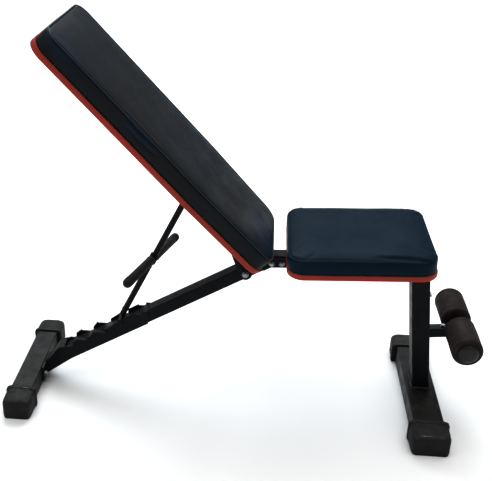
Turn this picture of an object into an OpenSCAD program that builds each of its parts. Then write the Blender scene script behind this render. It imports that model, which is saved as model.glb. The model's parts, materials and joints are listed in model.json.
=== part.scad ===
// Adjustable weight bench with a padded seat, a reclining padded backrest held by a
// strut that drops into a notched rack, two feet with rubber caps, and a pair of foam
// leg rollers. Millimetres. X runs from the rear foot to the rollers, Y across the
// bench, Z up, with the origin on the floor at the middle of the bench's outline.

/* [Feet] */
// Rear foot's centre along the bench
rear_foot_x = -537; // [-560:1:-520]
// Front foot's centre along the bench
front_foot_x = 466; // [450:1:480]
// Length of the rear foot across the bench, over its caps
rear_foot_len = 360; // [300:5:420]
// Length of the front foot across the bench, over its caps
front_foot_len = 420; // [360:5:480]
// Width of the rear foot's tube
rear_tube_w = 54; // [50:1:58]
// Width of the front foot's tube
front_tube_w = 73; // [66:1:80]
// Height of both foot tubes
foot_tube_h = 48; // [40:1:50]
// Height of a rubber cap
cap_h = 57; // [54:1:62]
// Length of a rubber cap along its foot
cap_len = 60; // [45:1:80]

/* [Frame] */
// Recline hinge's place along the bench
hinge_x = 10; // [0:1:20]
// Recline hinge's height
hinge_z = 358.5; // [350:0.5:365]
// Slope of the main beam
beam_angle = 31; // [29:0.5:33]
// Width of the beam and the seat rail across the bench
beam_w = 36; // [34:1:36]
// Depth of the main beam
beam_depth = 32; // [28:1:34]
// Depth of the seat rail
rail_depth = 30; // [26:1:32]
// Length of the beam from the hinge to its mitre with the seat rail
joint_run = 64; // [60:1:68]
// Upward tilt of the seat towards the rollers
seat_tilt = 2.75; // [0:0.25:4]
// Lean of the front post from upright
post_lean = 7; // [6:0.25:8]
// Width of the front post along the bench
post_w = 43; // [40:1:46]
// Width of the front post across the bench
post_d = 50; // [46:1:54]

/* [Rack] */
// Number of notches
notches = 5; // [4:1:5]
// Spacing of the teeth along the bench
notch_pitch = 46.5; // [45:0.5:47]
// Place along the bench of the first tooth's upright side
first_tooth_x = -427; // [-429:0.5:-425]
// Height of a notch's floor over the beam's top
notch_lift = 1; // [1:0.5:4]
// Height of the lip that keeps the strut in a notch
notch_lip = 2.5; // [1:0.25:3]

/* [Backrest] */
// Recline of the backrest from flat
back_angle = 47.1; // [40:0.1:47.1]
// Distance along the backrest from the hinge to the pad's hip end
pad_start = 17; // [17:1:24]
// Distance from the hinge up to the underside of the pad's board
board_lift = 55; // [52:1:58]
// Length of the back pad
back_len = 709; // [650:1:740]
// Width of the back pad
back_w = 288; // [260:2:300]
// Width of the back pad at its hip end
back_hip_w = 260; // [230:2:280]
// Length of the tapered hip end
taper_len = 240; // [200:5:300]

/* [Seat] */
// Length of the seat pad
seat_len = 336; // [330:1:340]
// Width of the seat pad
seat_w = 280; // [250:2:300]

/* [Padding] */
// Thickness of both boards
board_t = 12; // [10:1:15]
// Thickness of the foam over a board
foam_t = 45; // [35:1:50]
// Radius of the pads' corners
corner_r = 40; // [30:1:50]
// Thickness of the coloured band around a board
band_t = 3; // [2:0.5:4]

/* [Strut] */
// Distance along the backrest from the hinge to the strut's pin
strut_pin_run = 238; // [230:1:242]
// Distance from the hinge line up to the strut's pin
strut_pin_lift = 29.5; // [28:0.5:31]
// Diameter of the strut rod
strut_d = 15; // [12:0.5:16]
// Distance down the strut from its pin to the cross handle
handle_run = 200; // [180:1:220]
// Length of the cross handle
handle_len = 328; // [260:2:340]
// Turn of the cross handle about the strut
handle_turn = 15; // [0:1:15]
// Diameter of the handle's grips
grip_d = 23; // [20:1:24]

/* [Rollers] */
// Rollers' place along the bench
roller_x = 537.5; // [530:0.5:545]
// Rollers' height
roller_z = 231.8; // [225:0.2:238]
// Diameter of a foam roller
roller_d = 74; // [60:1:76]
// Length of the pair of rollers over the bar's caps
roller_span = 254; // [240:2:280]

/* [Hidden] */

wall = 2;              // wall of every square tube
plate_t = 4;           // rack, joint and clevis plates
edge_r = 3;            // rounding of the tubes' edges
big = 2000;            // longer than anything that it cuts
run_fit = 0.05;        // radial clearance of a pin in a moving part
hole_fit = 0.2;        // radial clearance of a bolt in a fixed part
arc_steps = 8;         // straight steps in a pad's corner

foot_gap = 4;          // rubber under a foot tube
cap_wall = 5;          // rubber past the end of a foot tube
foot_top = foot_gap + foot_tube_h;
rear_face = rear_foot_x + rear_tube_w / 2;
end_plate_t = 5;
end_plate_half = 38;
foot_bolt_y = 31;      // clear of the rack plates
bolt_r = 4;            // every M8 bolt and screw
washer_t = 1.5;

beam_rise = tan(beam_angle);
beam_half_drop = beam_depth / 2 / cos(beam_angle);
lower_angle = 37;      // slope of the beam's last stretch, down to the rear foot
bend_x = -432;         // the bend under the rack
side = beam_w / 2;     // side face of the beam and the rail
rack_out = side + plate_t;
tooth_tops = [15, 12, 28, 28];  // runs of the teeth's tops, from the lowest tooth
held_notch = 3;        // the notch that holds the strut, counted from 0
first_floor_run = 16;  // run of the lowest notch's floor
rack_low_x = rear_face + end_plate_t;
rack_slope_run = 37;   // run of the rack's sloping lower end
rack_slope_drop = 8;   // from the first notch's floor to the top of that slope
rack_high_run = 11;    // from the last notch to the rack's upper end

mitre_x = hinge_x + joint_run * cos(beam_angle);
mitre_z = hinge_z + joint_run * sin(beam_angle);
mitre_angle = (beam_angle + seat_tilt) / 2;
joint_plate_cut = 5;   // how much lower the joint plates are than the tubes
joint_bolt_runs = [7, 31];
plug_t = 2.5;
rail_len = 378;
strap_h = 7.5;
strap_w = 40;
seat_start = 42;       // from the mitre to the seat's rear end
seat_lift = rail_depth / 2 + strap_h;
seat_strap_inset = 70;
seat_screw_y = 80;
seat_strap_len = 210;

ear_gap = 1;           // between the rack and joint plates and the hinge ears
ear_in = rack_out + ear_gap;
ear_t = 4;
ear_out = ear_in + ear_t;
ear_r = 16;
bush_r = 7.5;
hinge_bolt_r = 5;
bush_half = ear_out + 0.5;
head_r = 8.5;
head_h = 5;

back_rail_w = 28;
back_rail_h = 20;
back_rail_mid = ear_out + back_rail_w / 2;
strap_t = 5;
back_rail_top = board_lift - strap_t;
back_rail_start = 20;
back_rail_len = 610;
strap_runs = [80, strut_pin_run, 560];
back_strap_len = 200;
back_screw_y = 80;
clevis_in = 10;        // inner face of a clevis cheek
clevis_r = 12;
strut_pin_r = 5;

foot_pin_r = 5.5;
foot_pin_len = 64;
pin_lift = 4.8;        // gap under the strut's foot pin, so that it can leave its notch
pin_back = 6.5;        // from a notch's lip to the pin's centre
tooth_chamfer = [2, 1.8];  // cut corner between a floor and the next tooth
tooth_step = 4;        // height of that corner
tooth_h = 14;          // height of the tooth's upright side
last_tooth_h = 9;

sin_b = sin(back_angle);
cos_b = cos(back_angle);
pin_x = hinge_x - strut_pin_run * cos_b + strut_pin_lift * sin_b;
pin_z = hinge_z + strut_pin_run * sin_b + strut_pin_lift * cos_b;
foot_x = notch_start(held_notch) + pin_back;
foot_z = notch_floor(held_notch) + pin_lift + foot_pin_r;
strut_len = norm([pin_x - foot_x, pin_z - foot_z]);
strut_lean = atan2(pin_x - foot_x, pin_z - foot_z);
eye_r = 10;
hub_r = 11;
cross_bar_r = 6;
grip_start = hub_r + 0.5;

bar_r = 8;
core_r = 12;
boss_r = 13.5;
arm_w = 25;
arm_angle = 6;
arm_drop = 15;         // from the rollers' axis down to the arm's centre line
roller_in = arm_w / 2 + 2;
cap_r = 24;
cap_t = 8;
roller_out = roller_span / 2 - cap_t - 0.5;

// Colours
frame_black = [0.08, 0.08, 0.09];
rubber_grey = [0.15, 0.15, 0.15];
vinyl = [0.13, 0.20, 0.25];
band_red = [0.72, 0.24, 0.22];
steel = [0.7, 0.7, 0.72];
plywood = [0.62, 0.48, 0.33];
foam_brown = [0.15, 0.12, 0.12];

// Heights of the beam's faces over the place x
function beam_top(x) = hinge_z + (x - hinge_x) * beam_rise + beam_half_drop;
function beam_bottom(x) = hinge_z + (x - hinge_x) * beam_rise - beam_half_drop;
function tooth_x(i) = first_tooth_x + i * notch_pitch;
function notch_start(i) =
    i == 0 ? first_tooth_x - first_floor_run : tooth_x(i - 1) + tooth_tops[i - 1];
function notch_floor(i) = beam_top((notch_start(i) + tooth_x(i)) / 2) + notch_lift;

// Points of an arc from angle a to angle b about (x, y)
function arc(x, y, r, a, b) =
    [for (i = [0 : arc_steps]) let (t = a + (b - a) * i / arc_steps) [x + r * cos(t), y + r * sin(t)]];

// One side of a pad's outline: hip end at x = 0, width growing from w0 to w1 over the taper
function half_outline(len, w0, w1, taper, r) =
    let (d = atan((w1 - w0) / 2 / taper))
    concat(
        arc(r, w0 / 2 + r * tan(d) - r / cos(d), r, 180, 90 + d),
        [[taper, w1 / 2]],
        arc(len - r, w1 / 2 - r, r, 90, 0)
    );
function pad_outline(len, w0, w1, taper, r) =
    let (h = half_outline(len, w0, w1, taper, r), n = len(h))
    concat(h, [for (i = [1 : n]) [h[n - i][0], -h[n - i][1]]]);

module round_rect(w, h, r) {
    union() {
        square([w - 2 * r, h], center = true);
        square([w, h - 2 * r], center = true);
        for (x = [-1, 1], y = [-1, 1])
            translate([x * (w / 2 - r), y * (h / 2 - r)]) circle(r = r, $fn = 24);
    }
}

module tube_section(w, h) {
    difference() {
        round_rect(w, h, edge_r);
        round_rect(w - 2 * wall, h - 2 * wall, edge_r - wall);
    }
}

// A square tube from the origin along +X, w across Y and h up Z
module tube_x(len, w, h) {
    rotate([90, 0, 90]) linear_extrude(len) tube_section(w, h);
}

// A square tube centred on the origin along Y
module tube_y(len, w, h) {
    rotate([90, 0, 0]) linear_extrude(len, center = true) tube_section(w, h);
}

module rod_y(r, len) {
    rotate([90, 0, 0]) cylinder(r = r, h = len, center = true, $fn = 64);
}

// Extrudes an outline drawn in X and Z from y to y + t
module side_plate(y, t) {
    translate([0, y + t, 0]) rotate([90, 0, 0]) linear_extrude(t) children();
}

module half_space() {
    translate([0, -big / 2, -big / 2]) cube(big);
}

module hex_head(r, h) {
    cylinder(r = r, h = h, $fn = 6);
}

// A screw that points up, with its head's underside at z = 0
module screw_up(r, len) {
    cylinder(r = r, h = len, $fn = 32);
    translate([0, 0, -washer_t]) cylinder(r = 2.2 * r, h = washer_t, $fn = 48);
    translate([0, 0, -washer_t - r]) hex_head(1.8 * r, r);
}

// Frames of reference
module in_beam() {
    translate([hinge_x, 0, hinge_z]) rotate([0, -beam_angle, 0]) children();
}
module in_rail() {
    translate([mitre_x, 0, mitre_z]) rotate([0, -seat_tilt, 0]) children();
}
module in_mitre() {
    translate([mitre_x, 0, mitre_z]) rotate([0, -mitre_angle, 0]) children();
}
// Backrest lying flat, its head towards -X and the hinge at the origin
module in_backrest() {
    translate([hinge_x, 0, hinge_z]) rotate([0, back_angle, 0]) children();
}
// Strut pin at the origin and the strut hanging down -Z
module in_strut() {
    translate([pin_x, 0, pin_z]) rotate([0, strut_lean, 0]) children();
}
module in_handle() {
    in_strut() translate([0, 0, -handle_run]) rotate([0, 0, -handle_turn]) children();
}

// ---- Feet ----
module foot_tube(x, w, len) {
    color(frame_black)
    translate([x, 0, foot_gap + foot_tube_h / 2]) tube_y(len - 2 * cap_wall, w, foot_tube_h);
}

// A rubber cap over the end of a foot tube; near caps have sign -1 and far caps 1
module foot_cap(x, w, len, sign) {
    cap_w = w * 1.15 + 13;
    color(rubber_grey)
    translate([x, sign * (len - cap_len) / 2, 0]) difference() {
        translate([0, 0, cap_h / 2]) rotate([90, 0, 0])
            linear_extrude(cap_len, center = true) round_rect(cap_w, cap_h, 6);
        translate([0, -sign * cap_wall, foot_gap + foot_tube_h / 2]) rotate([90, 0, 0])
            linear_extrude(cap_len, center = true) round_rect(w, foot_tube_h, edge_r);
    }
}

module rear_foot_tube() {
    difference() {
        foot_tube(rear_foot_x, rear_tube_w, rear_foot_len);
        foot_bolt_axes() cylinder(r = bolt_r + hole_fit, h = big, center = true, $fn = 32);
    }
}
module rear_cap_near() { foot_cap(rear_foot_x, rear_tube_w, rear_foot_len, -1); }
module rear_cap_far() { foot_cap(rear_foot_x, rear_tube_w, rear_foot_len, 1); }
module front_foot_tube() { foot_tube(front_foot_x, front_tube_w, front_foot_len); }
module front_cap_near() { foot_cap(front_foot_x, front_tube_w, front_foot_len, -1); }
module front_cap_far() { foot_cap(front_foot_x, front_tube_w, front_foot_len, 1); }

// The two bolts through the rear foot, their heads on its outer face
module foot_bolt_axes() {
    for (y = [-1, 1])
        translate([rear_foot_x - rear_tube_w / 2, y * foot_bolt_y, foot_gap + foot_tube_h / 2])
            rotate([0, 90, 0]) children();
}

module foot_bolts() {
    grip = rear_tube_w + end_plate_t;
    color(steel) foot_bolt_axes() {
        cylinder(r = bolt_r, h = grip + 8, $fn = 32);
        translate([0, 0, -washer_t]) cylinder(r = 9, h = washer_t, $fn = 48);
        translate([0, 0, -6.5]) hex_head(7.2, 5);
        translate([0, 0, grip]) hex_head(7.2, 6);
    }
}

// Plate on the beam's lower end that bolts to the rear foot
module beam_end_plate() {
    color(frame_black) difference() {
        translate([rear_face, -end_plate_half, foot_gap + 4])
            cube([end_plate_t, 2 * end_plate_half, foot_tube_h - 6]);
        foot_bolt_axes() cylinder(r = bolt_r + hole_fit, h = big, center = true, $fn = 32);
    }
}

// ---- Beam and rack ----
module in_bend() {
    translate([bend_x, 0, beam_bottom(bend_x) + beam_half_drop]) children();
}
module bend_plane() {
    in_bend() rotate([0, -(beam_angle + lower_angle) / 2, 0]) children();
}

module main_beam() {
    run = (hinge_x - bend_x) / cos(beam_angle);
    color(frame_black) difference() {
        in_beam() translate([-run - 30, 0, 0]) tube_x(run + joint_run + 60, beam_w, beam_depth);
        in_mitre() half_space();
        bend_plane() rotate([0, 0, 180]) half_space();
        translate([hinge_x, 0, hinge_z]) rod_y(bush_r + run_fit, big);
    }
}

// Frame on the top face of the beam's last stretch
module on_lower_beam() {
    in_bend() rotate([0, -lower_angle, 0]) translate([0, 0, beam_depth / 2]) children();
}

// The beam's last stretch, bent down from the rack to the rear foot
module lower_beam() {
    color(frame_black) difference() {
        in_bend() rotate([0, -lower_angle, 0]) translate([-150, 0, 0]) tube_x(190, beam_w, beam_depth);
        bend_plane() half_space();
        translate([rear_face + end_plate_t, 0, 0]) rotate([0, 0, 180]) half_space();
    }
}

// Outline of a rack plate: the beam's underside, the foot's end, then the notches
module rack_outline() {
    drop = beam_bottom(bend_x) - (bend_x - rack_low_x) * tan(lower_angle);
    high_x = tooth_x(notches - 1) + rack_high_run;
    teeth = [
        for (i = [0 : notches - 1])
            let (x = tooth_x(i), z = notch_floor(i))
            each [
                [notch_start(i), z],
                [x - 3 * tooth_chamfer[0], z],
                [x - tooth_chamfer[0], z + tooth_chamfer[1]],
                [x, z + tooth_step],
                if (i < notches - 1) each let (end = notch_start(i + 1), top = notch_floor(i + 1)) [
                    [x, z + tooth_h],
                    [end - 1, top + notch_lip],
                    [end, top + notch_lip - 0.5]
                ]
            ]
    ];
    polygon(concat(
        [
            [rack_low_x, drop],
            [rack_low_x, foot_top - 2],
            [rack_low_x + rack_slope_run, notch_floor(0) - rack_slope_drop],
            [notch_start(0) - 4, notch_floor(0) - 2]
        ],
        teeth,
        [
            [tooth_x(notches - 1), notch_floor(notches - 1) + last_tooth_h],
            [high_x, beam_top(high_x) - 2],
            [high_x, beam_bottom(high_x)],
            [bend_x, beam_bottom(bend_x)]
        ]
    ));
}

module rack_plate(y) {
    color(frame_black) side_plate(y, plate_t) rack_outline();
}
module rack_plate_near() { rack_plate(-rack_out); }
module rack_plate_far() { rack_plate(side); }

// Sloping plate that closes the rack's lower end between its two side plates
module rack_end_plate() {
    top_x = rack_low_x + rack_slope_run;
    top_z = notch_floor(0) - rack_slope_drop;
    lip = 16;
    color(frame_black) difference() {
        side_plate(-side + hole_fit, beam_w - 2 * hole_fit) polygon([
            [rack_low_x, foot_top - 2],
            [top_x, top_z],
            [top_x + lip, top_z + 4],
            [top_x + lip, top_z],
            [top_x + 3, top_z - 4],
            [rack_low_x + 5, foot_top - 6]
        ]);
        on_lower_beam() translate([0, 0, hole_fit]) rotate([0, 90, 0]) half_space();
    }
}

// ---- Seat rail, joint and post ----
module seat_rail() {
    color(frame_black) difference() {
        in_rail() translate([-60, 0, 0]) tube_x(rail_len + 60, beam_w, rail_depth);
        in_mitre() rotate([0, 0, 180]) half_space();
        joint_bolt_axes() rod_y(bolt_r + hole_fit, big);
    }
}

module rail_plug() {
    color(rubber_grey) in_rail() translate([rail_len, 0, 0]) {
        rotate([90, 0, 90]) linear_extrude(plug_t) round_rect(beam_w, rail_depth, edge_r);
        translate([-15, 0, 0]) rotate([90, 0, 90]) linear_extrude(15)
            round_rect(beam_w - 2 * wall - 0.4, rail_depth - 2 * wall - 0.4, 1);
    }
}

module joint_bolt_axes() {
    for (x = joint_bolt_runs) in_rail() translate([x, 0, -3]) children();
}

// Plates on both sides of the mitre between the beam and the seat rail
module joint_plate(y) {
    color(frame_black) difference() {
        side_plate(y, plate_t) union() {
            translate([mitre_x, mitre_z]) rotate(seat_tilt) translate([-12, -rail_depth / 2 + 1])
                square([58, rail_depth - joint_plate_cut]);
            translate([mitre_x, mitre_z]) rotate(beam_angle) translate([-22, -beam_depth / 2 + 1])
                square([22, beam_depth - joint_plate_cut]);
        }
        joint_bolt_axes() rod_y(bolt_r + hole_fit, big);
    }
}
module joint_plate_near() { joint_plate(-rack_out); }
module joint_plate_far() { joint_plate(side); }

module joint_bolts() {
    color(steel) joint_bolt_axes() {
        rod_y(bolt_r, 2 * rack_out + 14);
        translate([0, -rack_out, 0]) rotate([90, 0, 0]) {
            cylinder(r = 7, h = washer_t, $fn = 48);
            hex_head(6, 5);
        }
        translate([0, rack_out, 0]) rotate([-90, 0, 0]) {
            cylinder(r = 7, h = washer_t, $fn = 48);
            hex_head(6, 5);
        }
    }
}

module in_post() {
    translate([front_foot_x, 0, foot_top]) rotate([0, -post_lean, 0]) children();
}

module front_post() {
    color(frame_black) difference() {
        in_post() translate([0, 0, -30]) linear_extrude(440) tube_section(post_w, post_d);
        translate([0, 0, foot_top]) rotate([0, 90, 0]) half_space();
        in_rail() translate([0, 0, -rail_depth / 2]) rotate([0, -90, 0]) half_space();
        post_bolt_axis() cylinder(r = bolt_r + hole_fit, h = 20, center = true, $fn = 32);
    }
}

// Bolt head on the post's outer face, under the seat
module post_bolt_axis() {
    in_post() translate([post_w / 2, 0, 262]) rotate([0, 90, 0]) children();
}
module post_bolt() {
    color(steel) post_bolt_axis() {
        translate([0, 0, -12]) cylinder(r = bolt_r, h = 12, $fn = 32);
        cylinder(r = 8, h = washer_t, $fn = 48);
        translate([0, 0, washer_t]) hex_head(7, 5);
    }
}

// ---- Seat ----
module seat_outline(inset) {
    translate([inset, 0]) polygon(pad_outline(seat_len - 2 * inset, seat_w - 2 * inset,
        seat_w - 2 * inset, seat_len / 2, corner_r - inset));
}
module in_seat() {
    in_rail() translate([seat_start, 0, seat_lift]) children();
}
module seat_screw_axes() {
    for (x = [seat_strap_inset, seat_len - seat_strap_inset], y = [-seat_screw_y, seat_screw_y])
        in_seat() translate([x, y, -strap_h]) children();
}
module seat_strap(x) {
    color(frame_black) difference() {
        in_seat() translate([x - strap_w / 2, -seat_strap_len / 2, -strap_h])
            cube([strap_w, seat_strap_len, strap_h]);
        seat_screw_axes() cylinder(r = bolt_r + hole_fit, h = 60, center = true, $fn = 32);
    }
}
module seat_strap_rear() { seat_strap(seat_strap_inset); }
module seat_strap_front() { seat_strap(seat_len - seat_strap_inset); }

module seat_board() {
    color(plywood) difference() {
        in_seat() linear_extrude(board_t) seat_outline(band_t);
        seat_screw_axes() cylinder(r = bolt_r + hole_fit, h = 60, center = true, $fn = 32);
    }
}
module seat_band() {
    color(band_red) in_seat() linear_extrude(board_t) difference() {
        seat_outline(0);
        seat_outline(band_t);
    }
}
module seat_pad() {
    color(vinyl) in_seat() translate([0, 0, board_t]) linear_extrude(foam_t) seat_outline(0);
}
module seat_screws() {
    color(steel) seat_screw_axes() screw_up(bolt_r, strap_h + board_t - 1);
}

// ---- Rollers ----
module in_roller() {
    translate([roller_x, 0, roller_z]) children();
}

module roller_arm() {
    color(frame_black) difference() {
        in_roller() translate([0, 0, -arm_drop]) rotate([0, -arm_angle, 0])
            translate([-130, 0, 0]) tube_x(142, arm_w, arm_w);
        in_post() translate([post_w / 2, 0, 0]) rotate([0, 0, 180]) half_space();
        in_roller() rod_y(boss_r, big);
        bar_screw_axis() cylinder(r = 3 + hole_fit, h = 30, center = true, $fn = 32);
    }
}

// Bored boss on the arm's end that holds the roller bar
module roller_boss() {
    color(frame_black) in_roller() difference() {
        rod_y(boss_r, arm_w);
        rod_y(bar_r + 0.02, big);
    }
}

module bar_screw_axis() {
    in_roller() translate([0, 0, -arm_drop]) rotate([0, -arm_angle, 0])
        translate([-34, 0, arm_w / 2]) children();
}
module bar_screw() {
    color(steel) bar_screw_axis() {
        translate([0, 0, -14]) cylinder(r = 3, h = 14, $fn = 32);
        cylinder(r = 6.5, h = 1.2, $fn = 48);
        translate([0, 0, 1.2]) hex_head(5.5, 4.5);
    }
}

module roller_bar() {
    color(steel) in_roller() rod_y(bar_r, roller_span - 2 * cap_t);
}

// Domed plastic cap on the bar's end
module bar_cap(sign) {
    color(rubber_grey) in_roller() translate([0, sign * (roller_span / 2 - cap_t), 0])
        rotate([-sign * 90, 0, 0]) rotate_extrude($fn = 72) polygon(concat(
            [[0, 0], [cap_r, 0], [cap_r, 2.5]],
            [for (t = [15 : 15 : 90]) [(cap_r - 1) * cos(t), 2.5 + (cap_t - 2.5) * sin(t)]]
        ));
}
module bar_cap_near() { bar_cap(-1); }
module bar_cap_far() { bar_cap(1); }

module roller_core(sign) {
    len = roller_out - roller_in;
    color(rubber_grey) in_roller() translate([0, sign * (roller_in + len / 2), 0]) difference() {
        rod_y(core_r, len);
        rod_y(bar_r + run_fit, big);
    }
}
module roller_core_near() { roller_core(-1); }
module roller_core_far() { roller_core(1); }

module roller_foam(sign) {
    len = roller_out - roller_in;
    r = roller_d / 2;
    color(foam_brown) in_roller() translate([0, sign * (roller_in + len / 2), 0])
        rotate([90, 0, 0]) rotate_extrude($fn = 96) polygon(concat(
            [[core_r, -len / 2]],
            [for (t = [-90 : 15 : 0]) [r - 6 + 6 * cos(t), -len / 2 + 6 + 6 * sin(t)]],
            [for (t = [0 : 15 : 90]) [r - 6 + 6 * cos(t), len / 2 - 6 + 6 * sin(t)]],
            [[core_r, len / 2]]
        ));
}
module roller_foam_near() { roller_foam(-1); }
module roller_foam_far() { roller_foam(1); }

// ---- Recline hinge ----
module hinge_bolt() {
    color(steel) translate([hinge_x, 0, hinge_z]) {
        rod_y(hinge_bolt_r, 2 * bush_half + 4);
        for (s = [-1, 1]) translate([0, s * (bush_half + 0.1), 0]) rotate([-s * 90, 0, 0]) {
            cylinder(r = head_r, h = 2, $fn = 64);
            translate([0, 0, 2]) hex_head(7.2, head_h);
        }
    }
}

// Bush that turns on the bolt inside the beam and the ears
module hinge_bush() {
    color(steel) translate([hinge_x, 0, hinge_z]) difference() {
        rod_y(bush_r, 2 * bush_half);
        rod_y(hinge_bolt_r + run_fit, big);
    }
}

module hinge_ear(y) {
    color(frame_black) in_backrest() difference() {
        side_plate(y, ear_t) union() {
            circle(r = ear_r, $fn = 64);
            polygon([
                [ear_r, 0],
                [-2, back_rail_top],
                [-110, back_rail_top],
                [-110, back_rail_top - back_rail_h],
                [-10, -12]
            ]);
        }
        rod_y(bush_r + run_fit, big);
    }
}
module hinge_ear_near() { hinge_ear(-ear_out); }
module hinge_ear_far() { hinge_ear(ear_in); }

// ---- Backrest ----
module back_rail(sign) {
    color(frame_black) in_backrest()
        translate([-back_rail_start - back_rail_len, sign * back_rail_mid, back_rail_top - back_rail_h / 2])
            tube_x(back_rail_len, back_rail_w, back_rail_h);
}
module back_rail_near() { back_rail(-1); }
module back_rail_far() { back_rail(1); }

// Plastic plugs in the four ends of the back rails
module back_rail_plugs() {
    color(rubber_grey) in_backrest() for (s = [-1, 1], e = [-1, 1])
        translate([-back_rail_start - back_rail_len / 2 + e * back_rail_len / 2,
                   s * back_rail_mid, back_rail_top - back_rail_h / 2]) {
            translate([e > 0 ? 0 : -plug_t, 0, 0]) rotate([90, 0, 90])
                linear_extrude(plug_t) round_rect(back_rail_w, back_rail_h, edge_r);
            translate([e > 0 ? -12 : 0, 0, 0]) rotate([90, 0, 90])
                linear_extrude(12) round_rect(back_rail_w - 4.4, back_rail_h - 4.4, 1);
        }
}

module back_screw_axes() {
    for (run = strap_runs, y = [-back_screw_y, back_screw_y])
        in_backrest() translate([-run, y, back_rail_top]) children();
}
module back_strap(run) {
    color(frame_black) difference() {
        in_backrest() translate([-run - strap_w / 2, -back_strap_len / 2, back_rail_top])
            cube([strap_w, back_strap_len, strap_t]);
        back_screw_axes() cylinder(r = bolt_r + hole_fit, h = 60, center = true, $fn = 32);
    }
}
module back_strap_lower() { back_strap(strap_runs[0]); }
module back_strap_middle() { back_strap(strap_runs[1]); }
module back_strap_upper() { back_strap(strap_runs[2]); }

// The back pad's outline, its hip end at the hinge end of the backrest
module back_outline(inset) {
    translate([-pad_start - inset, 0]) mirror([1, 0]) polygon(pad_outline(back_len - 2 * inset,
        back_hip_w - 2 * inset, back_w - 2 * inset, taper_len - inset, corner_r - inset));
}
module back_board() {
    color(plywood) difference() {
        in_backrest() translate([0, 0, board_lift]) linear_extrude(board_t) back_outline(band_t);
        back_screw_axes() cylinder(r = bolt_r + hole_fit, h = 60, center = true, $fn = 32);
    }
}
module back_band() {
    color(band_red) in_backrest() translate([0, 0, board_lift]) linear_extrude(board_t) difference() {
        back_outline(0);
        back_outline(band_t);
    }
}
module back_pad() {
    color(vinyl) in_backrest() translate([0, 0, board_lift + board_t])
        linear_extrude(foam_t) back_outline(0);
}
module back_screws() {
    color(steel) back_screw_axes() screw_up(bolt_r, strap_t + board_t - 1);
}

// Clevis under the middle strap that carries the strut
module strut_clevis() {
    color(frame_black) in_backrest() difference() {
        for (y = [-clevis_in - plate_t, clevis_in]) side_plate(y, plate_t) union() {
            translate([-strut_pin_run, strut_pin_lift]) circle(r = clevis_r, $fn = 48);
            polygon([
                [-strut_pin_run - clevis_r, strut_pin_lift],
                [-strut_pin_run - clevis_r - 4, back_rail_top],
                [-strut_pin_run + clevis_r + 4, back_rail_top],
                [-strut_pin_run + clevis_r, strut_pin_lift]
            ]);
        }
        translate([-strut_pin_run, 0, strut_pin_lift]) rod_y(strut_pin_r + hole_fit, big);
    }
}
module strut_pin() {
    len = 2 * (clevis_in + plate_t) + 6;
    color(steel) translate([pin_x, 0, pin_z]) {
        rod_y(strut_pin_r, len);
        for (s = [-1, 1]) translate([0, s * (clevis_in + plate_t + 1.2), 0]) rod_y(8, 2);
    }
}

// ---- Strut ----
module strut_eye() {
    color(frame_black) in_strut() difference() {
        rod_y(eye_r, 2 * clevis_in - 1);
        rod_y(strut_pin_r + run_fit, big);
    }
}
module strut_rod() {
    color(frame_black) in_strut() difference() {
        translate([0, 0, -strut_len]) cylinder(d = strut_d, h = strut_len, $fn = 48);
        rod_y(eye_r, big);
        translate([0, 0, -strut_len]) rod_y(foot_pin_r, big);
    }
}
module handle_hub() {
    color(frame_black) in_strut() translate([0, 0, -handle_run]) difference() {
        cylinder(r = hub_r, h = grip_d, center = true, $fn = 48);
        cylinder(d = strut_d, h = 40, center = true, $fn = 48);
    }
}
module cross_bar() {
    color(frame_black) in_handle() difference() {
        rod_y(cross_bar_r, handle_len - 8);
        cylinder(r = hub_r, h = 40, center = true, $fn = 48);
    }
}
// Ribbed-end grip with a rounded nose
module grip(sign) {
    len = handle_len / 2 - grip_start;
    r = grip_d / 2;
    color(rubber_grey) in_handle() translate([0, sign * grip_start, 0]) rotate([-sign * 90, 0, 0])
        rotate_extrude($fn = 64) polygon(concat(
            [[cross_bar_r, 0], [r - 1, 0], [r, 1]],
            [for (t = [0 : 15 : 90]) [r * cos(t), len - r + r * sin(t)]],
            [[0, len - 4], [cross_bar_r, len - 4]]
        ));
}
module grip_near() { grip(-1); }
module grip_far() { grip(1); }
module foot_pin() {
    color(steel) translate([foot_x, 0, foot_z]) rod_y(foot_pin_r, foot_pin_len);
}

rear_foot_tube();
rear_cap_near();
rear_cap_far();
beam_end_plate();
foot_bolts();
main_beam();
lower_beam();
rack_plate_near();
rack_plate_far();
rack_end_plate();
seat_rail();
rail_plug();
joint_plate_near();
joint_plate_far();
joint_bolts();
front_post();
post_bolt();
front_foot_tube();
front_cap_near();
front_cap_far();
seat_strap_rear();
seat_strap_front();
seat_board();
seat_band();
seat_pad();
seat_screws();
roller_arm();
roller_boss();
bar_screw();
roller_bar();
bar_cap_near();
bar_cap_far();
roller_core_near();
roller_foam_near();
roller_core_far();
roller_foam_far();
hinge_bolt();
hinge_bush();
hinge_ear_near();
hinge_ear_far();
back_rail_near();
back_rail_far();
back_rail_plugs();
back_strap_lower();
back_strap_middle();
back_strap_upper();
back_board();
back_band();
back_pad();
back_screws();
strut_clevis();
strut_pin();
strut_eye();
strut_rod();
handle_hub();
cross_bar();
grip_near();
grip_far();
foot_pin();
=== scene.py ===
"""Looks of an adjustable weight bench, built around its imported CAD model."""

import json
import math

import bmesh
import bpy
import numpy as np
from mathutils import Matrix, Vector, noise
from mathutils.kdtree import KDTree


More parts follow.
